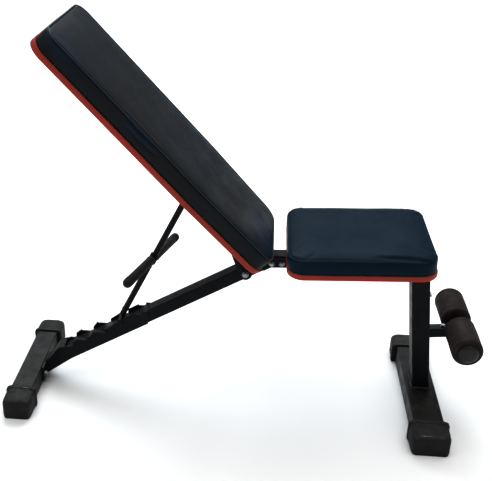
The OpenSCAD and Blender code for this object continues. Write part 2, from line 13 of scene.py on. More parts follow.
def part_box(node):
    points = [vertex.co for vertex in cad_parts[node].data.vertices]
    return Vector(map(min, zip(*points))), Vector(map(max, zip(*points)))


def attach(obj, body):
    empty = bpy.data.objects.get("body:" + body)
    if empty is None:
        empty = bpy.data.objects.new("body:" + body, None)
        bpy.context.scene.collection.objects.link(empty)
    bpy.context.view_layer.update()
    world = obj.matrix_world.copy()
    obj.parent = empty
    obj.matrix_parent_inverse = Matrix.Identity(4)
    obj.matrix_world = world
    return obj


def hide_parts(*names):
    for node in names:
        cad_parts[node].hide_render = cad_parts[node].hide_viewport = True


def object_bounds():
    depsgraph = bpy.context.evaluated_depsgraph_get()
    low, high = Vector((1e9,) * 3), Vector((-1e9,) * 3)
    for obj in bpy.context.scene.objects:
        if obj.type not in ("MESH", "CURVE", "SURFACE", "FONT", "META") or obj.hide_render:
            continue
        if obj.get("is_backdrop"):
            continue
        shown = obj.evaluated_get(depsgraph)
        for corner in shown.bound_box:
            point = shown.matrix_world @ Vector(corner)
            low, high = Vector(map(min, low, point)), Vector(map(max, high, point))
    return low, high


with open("model.json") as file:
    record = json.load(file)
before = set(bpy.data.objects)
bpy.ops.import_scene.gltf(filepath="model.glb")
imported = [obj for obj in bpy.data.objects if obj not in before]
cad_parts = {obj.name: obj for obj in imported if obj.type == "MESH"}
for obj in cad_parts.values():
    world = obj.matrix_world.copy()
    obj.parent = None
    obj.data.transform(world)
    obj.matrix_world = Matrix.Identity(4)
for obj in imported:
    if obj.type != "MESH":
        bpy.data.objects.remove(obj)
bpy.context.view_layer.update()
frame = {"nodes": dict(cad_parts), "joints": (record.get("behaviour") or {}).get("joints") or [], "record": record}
NODES = frame["nodes"]
JOINTS = {j["name"]: j for j in frame["joints"]}
MM = 0.001

# ---- Frames of reference ----
# The pads' frames: u along the pad, v across it, n up from the underside of its board
BOARD_T = 0.012
FOAM_T = 0.045
SEAT_TILT = math.radians(2.75)
BOARD_LIFT = 0.055     # underside of the back board above the hinge
PAD_START = 0.017      # start of the back pad along the backrest, from the hinge
SEAT_LEN, SEAT_W = 0.336, 0.280
BACK_LEN, BACK_W, BACK_HIP_W, TAPER = 0.709, 0.288, 0.260, 0.240
CORNER_R = 0.040

recline = JOINTS["backrest_recline"]
HINGE = Vector(recline["pos_m"])
BACK_ANGLE = -math.radians(recline["range_deg"][0])


def axes(u, v, n, origin):
    """Matrix whose columns are the directions u, v and n."""
    m = Matrix((u, v, n)).transposed().to_4x4()
    m.translation = origin
    return m


def back_frame():
    u = Vector((-math.cos(BACK_ANGLE), 0, math.sin(BACK_ANGLE)))
    n = Vector((math.sin(BACK_ANGLE), 0, math.cos(BACK_ANGLE)))
    return axes(u, Vector((0, -1, 0)), n, HINGE + u * PAD_START + n * BOARD_LIFT)


def seat_frame():
    u = Vector((math.cos(SEAT_TILT), 0, math.sin(SEAT_TILT)))
    n = Vector((-math.sin(SEAT_TILT), 0, math.cos(SEAT_TILT)))
    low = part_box("seat_pad")[0]
    origin = Vector((low.x + (BOARD_T + FOAM_T) * math.sin(SEAT_TILT), 0,
                     low.z - BOARD_T * math.cos(SEAT_TILT)))
    return axes(-u, Vector((0, -1, 0)), n, origin + u * SEAT_LEN)


IN_BACK = back_frame()
IN_SEAT = seat_frame()
UPRIGHT = Matrix.Identity(4)


# ---- Materials ----
M = {}                 # each look's material, by its name


class Nodes:
    """Builds a material's node tree around its Principled shader, and lists it in M."""

    def __init__(self, name, roughness, specular=0.5, metallic=0.0):
        self.mat = M[name] = bpy.data.materials.new(name)
        self.mat.use_nodes = True
        self.tree = self.mat.node_tree
        self.shader = self.tree.nodes["Principled BSDF"]
        self.shader.inputs["Roughness"].default_value = roughness
        self.shader.inputs["Specular IOR Level"].default_value = specular
        self.shader.inputs["Metallic"].default_value = metallic
        self.where = self.add("ShaderNodeTexCoord").outputs["Object"]

    def add(self, kind, **settings):
        made = self.tree.nodes.new(kind)
        for key, value in settings.items():
            setattr(made, key, value)
        return made

    def link(self, a, b):
        self.tree.links.new(a, b)

    def stretched(self, scale, turn=(0, 0, 0), place=(0, 0, 0)):
        """The object's coordinates, turned, moved and scaled on each axis."""
        moved = self.add("ShaderNodeMapping", vector_type="TEXTURE")
        moved.inputs["Location"].default_value = place
        moved.inputs["Rotation"].default_value = turn
        self.link(self.where, moved.inputs["Vector"])
        sized = self.add("ShaderNodeMapping")
        sized.inputs["Scale"].default_value = scale
        self.link(moved.outputs["Vector"], sized.inputs["Vector"])
        return sized.outputs["Vector"]

    def noise(self, scale, detail=3.0, rough=0.55, at=None, distortion=0.0):
        made = self.add("ShaderNodeTexNoise")
        made.inputs["Scale"].default_value = scale
        made.inputs["Detail"].default_value = detail
        made.inputs["Roughness"].default_value = rough
        made.inputs["Distortion"].default_value = distortion
        self.link(at or self.where, made.inputs["Vector"])
        return made.outputs["Fac"]

    def cells(self, scale, feature="DISTANCE_TO_EDGE"):
        made = self.add("ShaderNodeTexVoronoi", feature=feature)
        made.inputs["Scale"].default_value = scale
        self.link(self.where, made.inputs["Vector"])
        return made.outputs["Distance"]

    def ramp(self, value, low, high, to_low=0.0, to_high=1.0):
        made = self.add("ShaderNodeMapRange", interpolation_type="SMOOTHSTEP")
        for name, number in (("From Min", low), ("From Max", high),
                             ("To Min", to_low), ("To Max", to_high)):
            made.inputs[name].default_value = number
        self.link(value, made.inputs["Value"])
        return made.outputs["Result"]

    def math(self, kind, a, b):
        made = self.add("ShaderNodeMath", operation=kind)
        for socket, value in zip(made.inputs, (a, b)):
            if isinstance(value, (int, float)):
                socket.default_value = value
            else:
                self.link(value, socket)
        return made.outputs["Value"]

    def mix(self, share, a, b):
        """Mixes two colours; share is an output or a number."""
        made = self.add("ShaderNodeMix", data_type="RGBA")
        sockets = (made.inputs[0], made.inputs[6], made.inputs[7])
        for socket, value in zip(sockets, (share, a, b)):
            if isinstance(value, (int, float)):
                socket.default_value = value
            elif isinstance(value, tuple):
                socket.default_value = (*value, 1)
            else:
                self.link(value, socket)
        return made.outputs[2]

    def edges(self, width=0.0012):
        """1 on corners and edges, 0 on faces: for worn and scuffed edges, and for the weld bead's painted
        highlight.
        """
        soft = self.add("ShaderNodeBevel", samples=4)
        soft.inputs["Radius"].default_value = width
        hard = self.add("ShaderNodeNewGeometry")
        dot = self.add("ShaderNodeVectorMath", operation="DOT_PRODUCT")
        self.link(soft.outputs["Normal"], dot.inputs[0])
        self.link(hard.outputs["Normal"], dot.inputs[1])
        return self.ramp(dot.outputs["Value"], 0.985, 0.90)

    def facing_up(self):
        """1 on faces that look up: where dust lies, and where the weld bead's highlight is painted."""
        geometry = self.add("ShaderNodeNewGeometry")
        split = self.add("ShaderNodeSeparateXYZ")
        self.link(geometry.outputs["Normal"], split.inputs[0])
        return self.ramp(split.outputs["Z"], 0.2, 0.9)

    def spot(self, place, turn, radii, solid, most=1.0):
        """An ellipsoid: most within the solid share of its radii, fading to 0 at its rim."""
        far = self.add("ShaderNodeVectorMath", operation="LENGTH")
        self.link(self.stretched(tuple(1 / r for r in radii), turn, place), far.inputs[0])
        return self.ramp(far.outputs["Value"], 1.0, solid, 0.0, most)

    def scratch(self, place, turn, length, width):
        """1 along one straight scratch, fading at its ends."""
        broken = self.ramp(self.noise(600, 2), 0.35, 0.55)
        return self.math("MULTIPLY", self.spot(place, turn, (length, width, 0.012), 0.3),
                         broken)

    def bump(self, height, strength, distance, onto=None):
        made = self.add("ShaderNodeBump")
        made.inputs["Strength"].default_value = strength
        made.inputs["Distance"].default_value = distance
        self.link(height, made.inputs["Height"])
        if onto is not None:
            self.link(onto, made.inputs["Normal"])
        return made.outputs["Normal"]

    def finish(self, colour, rough=None, normal=None):
        self.link(colour, self.shader.inputs["Base Color"])
        if rough is not None:
            self.link(rough, self.shader.inputs["Roughness"])
        if normal is not None:
            self.link(normal, self.shader.inputs["Normal"])


def powder_coat(name, colour, worn, dust_and_highlight_colour, dust=0.30, specular=0.20, marks=()):
    """Satin powder coat with a fine orange peel, lighter edges and lighter up-facing faces: bare edges and settled
    dust on the frame and feet, painted highlight on the weld bead.
    """
    n = Nodes(name, 0.42, specular)
    tone = n.ramp(n.noise(9, 4), 0.3, 0.7)
    paint = n.mix(tone, colour, tuple(1.5 * c for c in colour))
    # Lighter edges and up-facing faces: worn paint and settled dust on the frame and feet, painted highlight on
    # the post's weld bead.
    patchy = n.math("MULTIPLY", n.edges(), n.ramp(n.noise(70, 3), 0.45, 0.62))
    paint = n.mix(n.math("MULTIPLY", patchy, 0.55), paint, worn)
    lying = n.math("MULTIPLY", n.facing_up(), n.ramp(n.noise(28, 5, 0.65), 0.35, 0.75))
    paint = n.mix(n.math("MULTIPLY", lying, dust), paint, dust_and_highlight_colour)
    for mark in marks:
        paint = n.mix(n.scratch(*mark), paint, (0.30, 0.29, 0.27))
    rough = n.ramp(n.noise(45, 4), 0.3, 0.7, 0.36, 0.52)
    peel = n.bump(n.noise(700, 2), 0.16, 0.0006)
    lumps = n.bump(n.noise(60, 2), 0.12, 0.002, peel)
    n.finish(paint, rough, lumps)


def moulded(name, colour, dusty, rough=0.6, specular=0.3, grain=1400, marks=()):
    """Moulded rubber or plastic: fine spark grain, scuffed and dusty."""
    n = Nodes(name, rough, specular)
    tone = n.ramp(n.noise(22, 5, 0.6), 0.3, 0.7)
    paint = n.mix(tone, colour, tuple(1.35 * c for c in colour))
    scuff = n.math("MULTIPLY", n.edges(0.002), n.ramp(n.noise(120, 3), 0.4, 0.65))
    paint = n.mix(n.math("MULTIPLY", scuff, 0.45), paint, dusty)
    lying = n.math("MULTIPLY", n.facing_up(), n.ramp(n.noise(40, 5, 0.7), 0.3, 0.75))
    paint = n.mix(n.math("MULTIPLY", lying, 0.4), paint, dusty)
    for mark in marks:
        paint = n.mix(n.scratch(*mark), paint, (0.33, 0.31, 0.28))
    shine = n.ramp(n.noise(35, 4), 0.3, 0.7, rough - 0.07, rough + 0.1)
    bumps = n.bump(n.noise(grain, 2), 0.25, 0.0004)
    n.finish(paint, shine, bumps)


def vinyl(name, colour, mottle_and_sheen_tint, groove_tint, rough, specular, patches=(), painted_sheen_tint=None):
    """Upholstery vinyl: pebbled grain, faint large mottling and duller and shinier areas; on the back cover the
    mottling is navy and partly paints a sheen of bluish light in blotches.

    Each patch is a place, a turn and three radii, where the vinyl takes a painted navy sheen: a painted reflection
    of bluish light laid into the base colour.
    """
    n = Nodes(name, rough, specular)
    broad = n.ramp(n.noise(5, 3), 0.3, 0.7)
    paint = n.mix(broad, colour, mottle_and_sheen_tint)
    # Painted sheen: each patch lays a navy reflection into the base colour.
    for place, turn, radii in patches:
        paint = n.mix(n.spot(place, turn, radii, 0.25, 0.85), paint, painted_sheen_tint)
    fine = n.ramp(n.cells(950), 0.0, 0.16)
    paint = n.mix(n.math("MULTIPLY", n.math("SUBTRACT", 1.0, fine), 0.35), paint, groove_tint)
    shine = n.ramp(n.noise(14, 5, 0.6), 0.25, 0.75, rough - 0.08, rough + 0.1)
    pebbles = n.bump(fine, 0.22, 0.0004)
    grain = n.bump(n.noise(260, 4, 0.6), 0.18, 0.0008, pebbles)
    soft = n.bump(n.noise(30, 3), 0.05, 0.004, grain)
    n.finish(paint, shine, soft)


def foam_skin(name, colour, high):
    """Closed-cell foam: pinholes, a dull skin and rubbed lighter patches."""
    n = Nodes(name, 0.72, 0.25)
    tone = n.ramp(n.noise(26, 5, 0.65), 0.3, 0.72)
    paint = n.mix(tone, colour, high)
    pores = n.ramp(n.cells(900, "F1"), 0.10, 0.30)
    paint = n.mix(n.math("MULTIPLY", n.math("SUBTRACT", 1.0, pores), 0.6), paint,
                  tuple(0.4 * c for c in colour))
    shine = n.ramp(n.noise(18, 4), 0.3, 0.7, 0.55, 0.82)
    pits = n.bump(pores, 0.35, 0.0006)
    lumps = n.bump(n.noise(90, 4, 0.6), 0.35, 0.0015, pits)
    n.finish(paint, shine, lumps)


def plated(name, colour, tarnish, rough=0.28):
    """Zinc plate: bright, cloudy, with dull spots and fine turning marks."""
    n = Nodes(name, rough, 0.5, metallic=1.0)
    cloud = n.ramp(n.noise(160, 5, 0.65), 0.35, 0.7)
    paint = n.mix(cloud, colour, tarnish)
    shine = n.ramp(n.noise(240, 4), 0.3, 0.7, rough - 0.06, rough + 0.2)
    marks = n.bump(n.noise(1800, 2), 0.2, 0.0002)
    n.finish(paint, shine, marks)


def plywood(name, turn):
    """Birch ply seen from below: long grain, darker pores and a few stains."""
    n = Nodes(name, 0.62, 0.3)
    along = n.stretched((6, 90, 90), turn)
    figure = n.noise(1.0, 6, 0.6, along, 0.6)
    paint = n.mix(n.ramp(figure, 0.3, 0.7), (0.44, 0.31, 0.19), (0.27, 0.17, 0.095))
    pore_at = n.stretched((40, 900, 900), turn)
    pores = n.ramp(n.noise(1.0, 3, 0.6, pore_at), 0.58, 0.66)
    paint = n.mix(n.math("MULTIPLY", pores, 0.6), paint, (0.12, 0.07, 0.04))
    stain = n.ramp(n.noise(9, 4), 0.56, 0.75)
    paint = n.mix(n.math("MULTIPLY", stain, 0.4), paint, (0.20, 0.13, 0.08))
    shine = n.ramp(figure, 0.3, 0.7, 0.55, 0.72)
    fibres = n.bump(n.noise(1.0, 4, 0.6, pore_at), 0.25, 0.0006)
    n.finish(paint, shine, fibres)


BLACK = (0.0065, 0.0070, 0.0085)
STEEL_WORN = (0.12, 0.12, 0.12)
DUST = (0.075, 0.078, 0.080)
NO_TURN = (0, 0, 0)
powder_coat("frame_paint", BLACK, STEEL_WORN, DUST, 0.22, 0.14)
powder_coat("foot_paint", (0.013, 0.013, 0.012), STEEL_WORN, (0.070, 0.068, 0.064), 0.36)
moulded("cap_rubber", (0.0097, 0.0094, 0.0090), (0.060, 0.058, 0.054),
        marks=(((-0.524, -0.1285, 0.057), (0, 0, -0.1), 0.0110, 0.0013),
               ((0.451, -0.2030, 0.057), (0, 0, 0.02), 0.0200, 0.0011)))
moulded("black_plastic", (0.011, 0.0105, 0.0105), (0.05, 0.05, 0.05), 0.42, 0.4)
moulded("grip_rubber", (0.011, 0.011, 0.011), (0.045, 0.045, 0.045), 0.65, 0.25, 700)
plated("zinc_steel", (0.30, 0.305, 0.32), (0.10, 0.10, 0.10))
plated("bar_steel", (0.42, 0.42, 0.44), (0.18, 0.17, 0.17), 0.2)
plywood("back_wood", (0, BACK_ANGLE, 0))
plywood("seat_wood", (0, -SEAT_TILT, 0))
vinyl("band_red", (0.40, 0.048, 0.031), (0.33, 0.037, 0.024), (0.19, 0.015, 0.010),
      0.48, 0.30)
# The back cover: its navy mottling partly paints a sheen of bluish light, and its four patches are painted sheen
# by the near crease, the far edge, the hip end and the head.
vinyl("back_vinyl", (0.0135, 0.0142, 0.0168), (0.0085, 0.0130, 0.0195),
      (0.006, 0.007, 0.009), 0.46, 0.18, painted_sheen_tint=(0.0075, 0.0240, 0.0480),
      patches=(((0.425, 0.142, 0.044), NO_TURN, (0.075, 0.022, 0.020)),
               ((0.330, -0.130, 0.053), (0, 0, 0.1), (0.130, 0.040, 0.030)),
               ((0.040, 0.020, 0.050), NO_TURN, (0.070, 0.150, 0.040)),
               ((0.660, 0.130, 0.050), NO_TURN, (0.080, 0.030, 0.030))))
vinyl("piping_vinyl", (0.026, 0.038, 0.050), (0.020, 0.033, 0.046), (0.010, 0.014, 0.018),
      0.36, 0.4)
# The seat cover: its teal-navy colour is partly the vinyl's own navy and partly a painted reflection of bluish
# light on its top.
vinyl("seat_vinyl", (0.0070, 0.0228, 0.0395), (0.0060, 0.0200, 0.0350),
      (0.004, 0.008, 0.013), 0.42, 0.07)
foam_skin("roller_foam", (0.0150, 0.0105, 0.0095), (0.030, 0.021, 0.018))
# The post's weld bead: the pale colours on its edges and up-facing faces are a painted highlight over the frame's
# dark paint.
powder_coat("weld_paint_and_highlight", (0.02, 0.02, 0.021), (0.2, 0.2, 0.2), (0.16, 0.16, 0.155),
            0.8, 0.4)
moulded("thread", (0.012, 0.016, 0.022), (0.05, 0.05, 0.05))

SLOT_LOOKS = {slot: slot for slot in M}
SLOT_LOOKS["board_wood"] = "back_wood"
SLOT_LOOKS["pad_vinyl"] = "back_vinyl"
NODE_LOOKS = {"seat_board": "seat_wood", "rear_foot_tube": "foot_paint",
              "front_foot_tube": "foot_paint", "beam_end_plate": "foot_paint",
              "rack_end_plate": "foot_paint"}


# ---- CAD nodes: their own materials, and a small bevel on the hard edges ----
SLOT_OF = {part["node"]: part["material_slot"] for part in frame["record"]["subparts"]}
ROUND_NODES = {"strut_rod", "roller_bar", "hinge_bush", "roller_core_near", "roller_core_far"}


def dress(node, look):
    obj = NODES[node]
    obj.data.materials.clear()
    obj.data.materials.append(M[look])
    if node in ROUND_NODES:
        return
    weld = obj.modifiers.new("weld", "WELD")
    weld.merge_threshold = 2e-5
    bevel = obj.modifiers.new("bevel", "BEVEL")
    bevel.width = 0.0006
    bevel.segments = 2
    bevel.limit_method = "ANGLE"
    bevel.angle_limit = math.radians(35)
    bevel.harden_normals = True


for node in NODES:
    look = NODE_LOOKS.get(node) or SLOT_LOOKS[SLOT_OF[node]]
    dress(node, look)


# ---- Mesh helpers ----
def piece(name, verts, faces, body, look, matrix=UPRIGHT, sharp=40):
    """A new smooth-shaded mesh piece that rides on a body."""
    mesh = bpy.data.meshes.new(name)
    mesh.from_pydata([tuple(v) for v in verts], [], faces)
    mesh.validate()
    return placed(name, mesh, body, look, matrix, sharp)


def placed(name, mesh, body, look, matrix=UPRIGHT, sharp=40):
    work = bmesh.new()
    work.from_mesh(mesh)
    bmesh.ops.recalc_face_normals(work, faces=work.faces)
    work.to_mesh(mesh)
    work.free()
    mesh.materials.clear()
    mesh.materials.append(M[look])
    mesh.shade_smooth()
    mesh.set_sharp_from_angle(angle=math.radians(sharp))
    obj = bpy.data.objects.new(name, mesh)
    bpy.context.scene.collection.objects.link(obj)
    obj.matrix_world = matrix
    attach(obj, body)
    return obj


def grid_faces(rows, columns, wrap_rows, wrap_columns, start=0):
    faces = []
    for i in range(rows if wrap_rows else rows - 1):
        for j in range(columns if wrap_columns else columns - 1):
            a, b = i * columns, (i + 1) % rows * columns
            k = (j + 1) % columns
            faces.append((start + a + j, start + a + k, start + b + k, start + b + j))
    return faces


def lathe(profile, along, centre, steps=128, dent=0.0, seed=0.0):
    """Verts and faces of (distance along, radius) turned about an axis along Y."""
    verts = []
    for run, radius in profile:
        for k in range(steps):
            t = 2 * math.pi * k / steps
            r = radius
            if dent:
                at = Vector((math.cos(t) * 1.3, math.sin(t) * 1.3, run * 30 + seed))
                r += dent * noise.noise(at)
            verts.append(centre + Vector((r * math.cos(t), along * run, r * math.sin(t))))
    faces = grid_faces(len(profile), steps, False, True)
    for ring, flip in ((0, True), (len(profile) - 1, False)):
        if profile[ring][1] < 1e-6:
            continue
        loop = [ring * steps + k for k in range(steps)]
        faces.append(tuple(reversed(loop)) if flip else tuple(loop))
    return verts, faces


def smooth_step(x):
    x = np.clip(x, 0, 1)
    return x * x * (3 - 2 * x)


# ---- Pads ----
class Outline:
    """A pad's outline, sampled evenly: its points, outward directions and runs."""

    def __init__(self, length, hip_w, head_w, taper, r, step=0.003):
        lean = math.atan((head_w - hip_w) / 2 / taper)
        half = self.arc(r, hip_w / 2 + r * math.tan(lean) - r / math.cos(lean), r,
                        180, 90 + math.degrees(lean))
        half += [(taper, head_w / 2)]
        half += self.arc(length - r, head_w / 2 - r, r, 90, 0)
        whole = half + [(u, -v) for u, v in reversed(half)]
        p = np.array(whole + whole[:1])
        runs = np.concatenate([[0], np.cumsum(np.hypot(*np.diff(p, axis=0).T))])
        self.total = runs[-1]
        self.count = int(round(self.total / step))
        self.run = np.arange(self.count) * self.total / self.count
        self.points = np.stack([np.interp(self.run, runs, p[:, k]) for k in (0, 1)], 1)
        ahead = np.roll(self.points, -2, 0) - np.roll(self.points, 2, 0)
        out = np.stack([-ahead[:, 1], ahead[:, 0]], 1)
        self.out = out / np.linalg.norm(out, axis=1)[:, None]
        turn = np.linalg.norm(np.roll(self.out, -6, 0) - np.roll(self.out, 6, 0), axis=1)
        self.corner = smooth_step(turn / 0.6)
        self.tree = KDTree(self.count)
        for i, (u, v) in enumerate(self.points):
            self.tree.insert((u, v, 0), i)
        self.tree.balance()

    @staticmethod
    def arc(u, v, r, start, end, steps=24):
        turns = [math.radians(start + (end - start) * i / steps) for i in range(steps + 1)]
        return [(u + r * math.cos(t), v + r * math.sin(t)) for t in turns]

    def nearest(self, co):
        """Index of the nearest outline point and the distance inside it, for each point."""
        index = np.array([self.tree.find((u, v, 0))[1] for u, v in co[:, :2]])
        inside = -np.einsum("ij,ij->i", co[:, :2] - self.points[index], self.out[index])
        return index, inside


def mesh_points(mesh):
    co = np.zeros(len(mesh.vertices) * 3)
    mesh.vertices.foreach_get("co", co)
    return co.reshape(-1, 3)


def mesh_normals(mesh):
    out = np.zeros(len(mesh.vertices) * 3)
    mesh.vertices.foreach_get("normal", out)
    return out.reshape(-1, 3)


def set_points(mesh, co):
    mesh.vertices.foreach_set("co", co.ravel())
    mesh.update()


def applied(obj):
    """The object's mesh with its modifiers applied."""
    dg = bpy.context.evaluated_depsgraph_get()
    return bpy.data.meshes.new_from_object(obj.evaluated_get(dg))


def tree_of(points):
    tree = KDTree(len(points))
    for i, p in enumerate(points):
        tree.insert(p, i)
    tree.balance()
    return tree


def along(path, gap=0.001):
    """A path's points, filled in so that they are no further apart than gap."""
    path = np.asarray(path, float)
    steps = np.linalg.norm(np.diff(path, axis=0), axis=1)
    runs = np.concatenate([[0], np.cumsum(steps)])
    at = np.linspace(0, runs[-1], max(2, int(runs[-1] / gap)))
    return np.stack([np.interp(at, runs, path[:, k]) for k in range(3)], 1), at / runs[-1]


SEAM_TURN = math.radians(45)   # where the seam lies on the rounded edge: 0 side, 90 top
TOP_SINK = 0.004       # how far the top is lowered before it swells
SIDE_GAP = 0.0008      # how far inside the plain pad the sides always start


def pre_shape(co, shape, edge_r, side_in):
    """Rounds the plain pad's top edge and pulls its sides in, before it swells."""
    index, inside = shape.nearest(co)
    height = co[:, 2] - BOARD_T
    a = np.clip(1 - inside / edge_r, 0, 1)
    b = np.clip((height - (FOAM_T - edge_r)) / edge_r, 0, 1)
    size = np.hypot(a, b)
    keep = np.where(size > 1e-6, np.maximum(a, b) / np.maximum(size, 1e-6), 1)
    both = (a > 0) & (b > 0)
    moved_in = np.where(both, edge_r * (a - a * keep), 0)
    down = np.where(both, edge_r * (b - b * keep), 0)
    side = side_in * smooth_step(height / 0.012) * smooth_step(a * 4) + SIDE_GAP
    out = co.copy()
    out[:, :2] -= shape.out[index] * (moved_in + np.where(a > 0, side, 0))[:, None]
    out[:, 2] -= down + TOP_SINK * smooth_step((height - 0.03) / 0.015)
    return out


def inflate(obj, pinned, weights, cap):
    """Swells a closed mesh by cloth pressure, and says how far each point moved."""
    group = obj.vertex_groups.new(name="held")
    for i in np.nonzero(pinned)[0]:
        group.add([int(i)], float(weights[i]), "REPLACE")
    cloth = obj.modifiers.new("cloth", "CLOTH")
    s = cloth.settings
    s.quality = 5
    s.mass = 0.3
    s.tension_stiffness = s.compression_stiffness = 15
    s.shear_stiffness = 5
    s.bending_stiffness = 0.5
    s.use_pressure = True
    s.uniform_pressure_force = 4
    s.vertex_group_mass = "held"
    s.effector_weights.gravity = 0
    cloth.collision_settings.use_collision = False
    cloth.point_cache.frame_start, cloth.point_cache.frame_end = 1, 20
    scene = bpy.context.scene
    for number in range(1, 21):
        scene.frame_set(number)
    mesh = applied(obj)
    moved = mesh_points(mesh)
    rest = mesh_points(obj.data)
    obj.modifiers.remove(cloth)
    obj.vertex_groups.remove(group)
    scene.frame_set(1)
    step = moved - rest
    far = np.linalg.norm(step, axis=1)[:, None]
    return rest + step * np.where(far > 1e-9, cap * np.tanh(far / cap) / np.maximum(far, 1e-9), 0)


def carried(path, rest, moved, tree):
    """Where points beside the unswollen mesh go when it swells."""
    out = []
    for p in path:
        found = tree.find_n(p, 8)
        w = np.array([1 / (d + 0.001) for _, _, d in found])
        ids = [i for _, i, _ in found]
        out.append(p + (w[:, None] * (moved[ids] - rest[ids])).sum(0) / w.sum())
    return np.array(out)


def dented(mesh, path, depth, width, closed=False):
    """Presses a path into a mesh; depth fades to its ends unless it is closed."""
    points, share = along(path)
    tree = tree_of(points)
    co, normals = mesh_points(mesh), mesh_normals(mesh)
    push = np.zeros(len(co))
    reach = 3 * width
    low, high = points.min(0) - reach, points.max(0) + reach
    near = np.nonzero(((co > low) & (co < high)).all(1))[0]
    for i in near:
        _, k, d = tree.find(co[i])
        if d < reach:
            fade = 1 if closed else math.sin(math.pi * share[k]) ** 0.6
            push[i] = depth * fade * math.exp(-((d / width) ** 2))
    set_points(mesh, co - normals * push[:, None])


def cushion(name, node, matrix, shape, body, look, creases, cap, edge_r, side_in, held, groove):
    """A pad's cover and foam: swollen by simulation, then sewn and creased.

    cap is the furthest that a point may move when it swells, side_in how far the sides are
    pulled in before that, held how firmly the seam holds, and groove the seam's depth.
    Returns the seam's path.
    """
    source = NODES[node].data.copy()
    source.transform(matrix.inverted())
    obj = bpy.data.objects.new(name + "_work", source)
    bpy.context.scene.collection.objects.link(obj)
    weld = obj.modifiers.new("weld", "WELD")
    weld.merge_threshold = 1e-5
    remesh = obj.modifiers.new("remesh", "REMESH")
    remesh.mode = "VOXEL"
    remesh.voxel_size = 0.005
    mesh = applied(obj)
    obj.modifiers.clear()
    obj.data = mesh
    box_shape = mesh_points(mesh)
    rest = pre_shape(box_shape, shape, edge_r, side_in)
    set_points(mesh, rest)
    index, inside = shape.nearest(box_shape)
    height = box_shape[:, 2] - BOARD_T
    low = 1 - smooth_step((height - 0.002) / 0.006)
    inset = side_in + SIDE_GAP + edge_r * (1 - math.cos(SEAM_TURN))
    seam = np.zeros((shape.count, 3))
    seam[:, :2] = shape.points - shape.out * inset
    seam[:, 2] = BOARD_T + FOAM_T - TOP_SINK - edge_r * (1 - math.sin(SEAM_TURN))
    sewn = tree_of(seam)
    reach = np.array([sewn.find(q)[2] for q in rest])
    firm = np.maximum(low, held * np.exp(-((reach / 0.006) ** 2)))
    moved = inflate(obj, firm > 0.02, firm, cap)
    tree = tree_of(rest)
    seam = carried(seam, rest, moved, tree)
    seam = (np.roll(seam, 1, 0) + 2 * seam + np.roll(seam, -1, 0)) / 4
    folds = [(carried(along(path, 0.002)[0], rest, moved, tree), *rest_of)
             for path, *rest_of in creases]
    # Gathers round the corners, and the uneven foam under the cover
    top = smooth_step((height - 0.020) / 0.02)
    wave = np.array([noise.noise((r * 95, h * 20, 3.1)) for r, h in
                     zip(shape.run[index], height)])
    gather = 0.0008 * shape.corner[index] * top * smooth_step(1 - inside / 0.035) * wave
    uneven = np.array([noise.noise((u * 11, v * 11, h * 6 + 7.7)) for u, v, h in box_shape])
    ripple = np.array([noise.noise((u * 34, v * 20, h * 20 + 2.2)) for u, v, h in box_shape])
    set_points(mesh, moved)
    push = (gather + (0.0010 * uneven + 0.0003 * ripple) * (1 - low))[:, None]
    set_points(mesh, moved + mesh_normals(mesh) * push)
    finer = obj.modifiers.new("finer", "SUBSURF")
    finer.levels = 1
    mesh = applied(obj)
    bpy.data.objects.remove(obj)
    dented(mesh, np.vstack([seam, seam[:1]]), groove, 0.0030, closed=True)
    for path, depth, width in folds:
        dented(mesh, path, depth, width)
    made = placed(name, mesh, body, look, matrix, sharp=180)
    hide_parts(node)
    return seam


BACK = Outline(BACK_LEN, BACK_HIP_W, BACK_W, TAPER, CORNER_R)
SEAT = Outline(SEAT_LEN, SEAT_W, SEAT_W, SEAT_LEN / 2, CORNER_R)
TOP = BOARD_T + FOAM_T - TOP_SINK
NEAR = BACK_W / 2
BACK_CREASES = [  # path before it swells, depth, width
    ([(0.470, NEAR - 0.0050, TOP - 0.0045), (0.430, NEAR - 0.0035, TOP - 0.0085),
      (0.385, NEAR - 0.0045, TOP - 0.0050)], 0.0042, 0.0036),
    ([(0.460, NEAR - 0.0035, TOP - 0.0100), (0.425, NEAR - 0.0030, TOP - 0.0140),
      (0.375, NEAR - 0.0035, TOP - 0.0105)], -0.0024, 0.0036),
    ([(0.455, NEAR - 0.0030, TOP - 0.0160), (0.420, NEAR - 0.0030, TOP - 0.0200),
      (0.360, NEAR - 0.0030, TOP - 0.0165)], 0.0026, 0.0040),
    ([(0.490, NEAR - 0.012, TOP), (0.430, NEAR - 0.010, TOP), (0.365, NEAR - 0.012, TOP)],
     -0.0014, 0.0050),
    ([(0.120, NEAR - 0.0045, TOP - 0.0140), (0.060, NEAR - 0.0060, TOP - 0.0150)],
     0.0010, 0.0040),
    ([(0.640, NEAR - 0.020, TOP), (0.690, NEAR - 0.040, TOP - 0.001)], 0.0010, 0.0050),
    ([(0.300, -NEAR + 0.010, TOP - 0.002), (0.360, -NEAR + 0.013, TOP)], 0.0008, 0.0100),
    ([(0.520, -NEAR + 0.008, TOP - 0.002), (0.570, -NEAR + 0.012, TOP)], 0.0009, 0.0120),
    ([(0.430, -NEAR + 0.005, TOP - 0.006), (0.470, -NEAR + 0.006, TOP - 0.008)], 0.0015, 0.0060),
]
SIDE_V = SEAT_W / 2
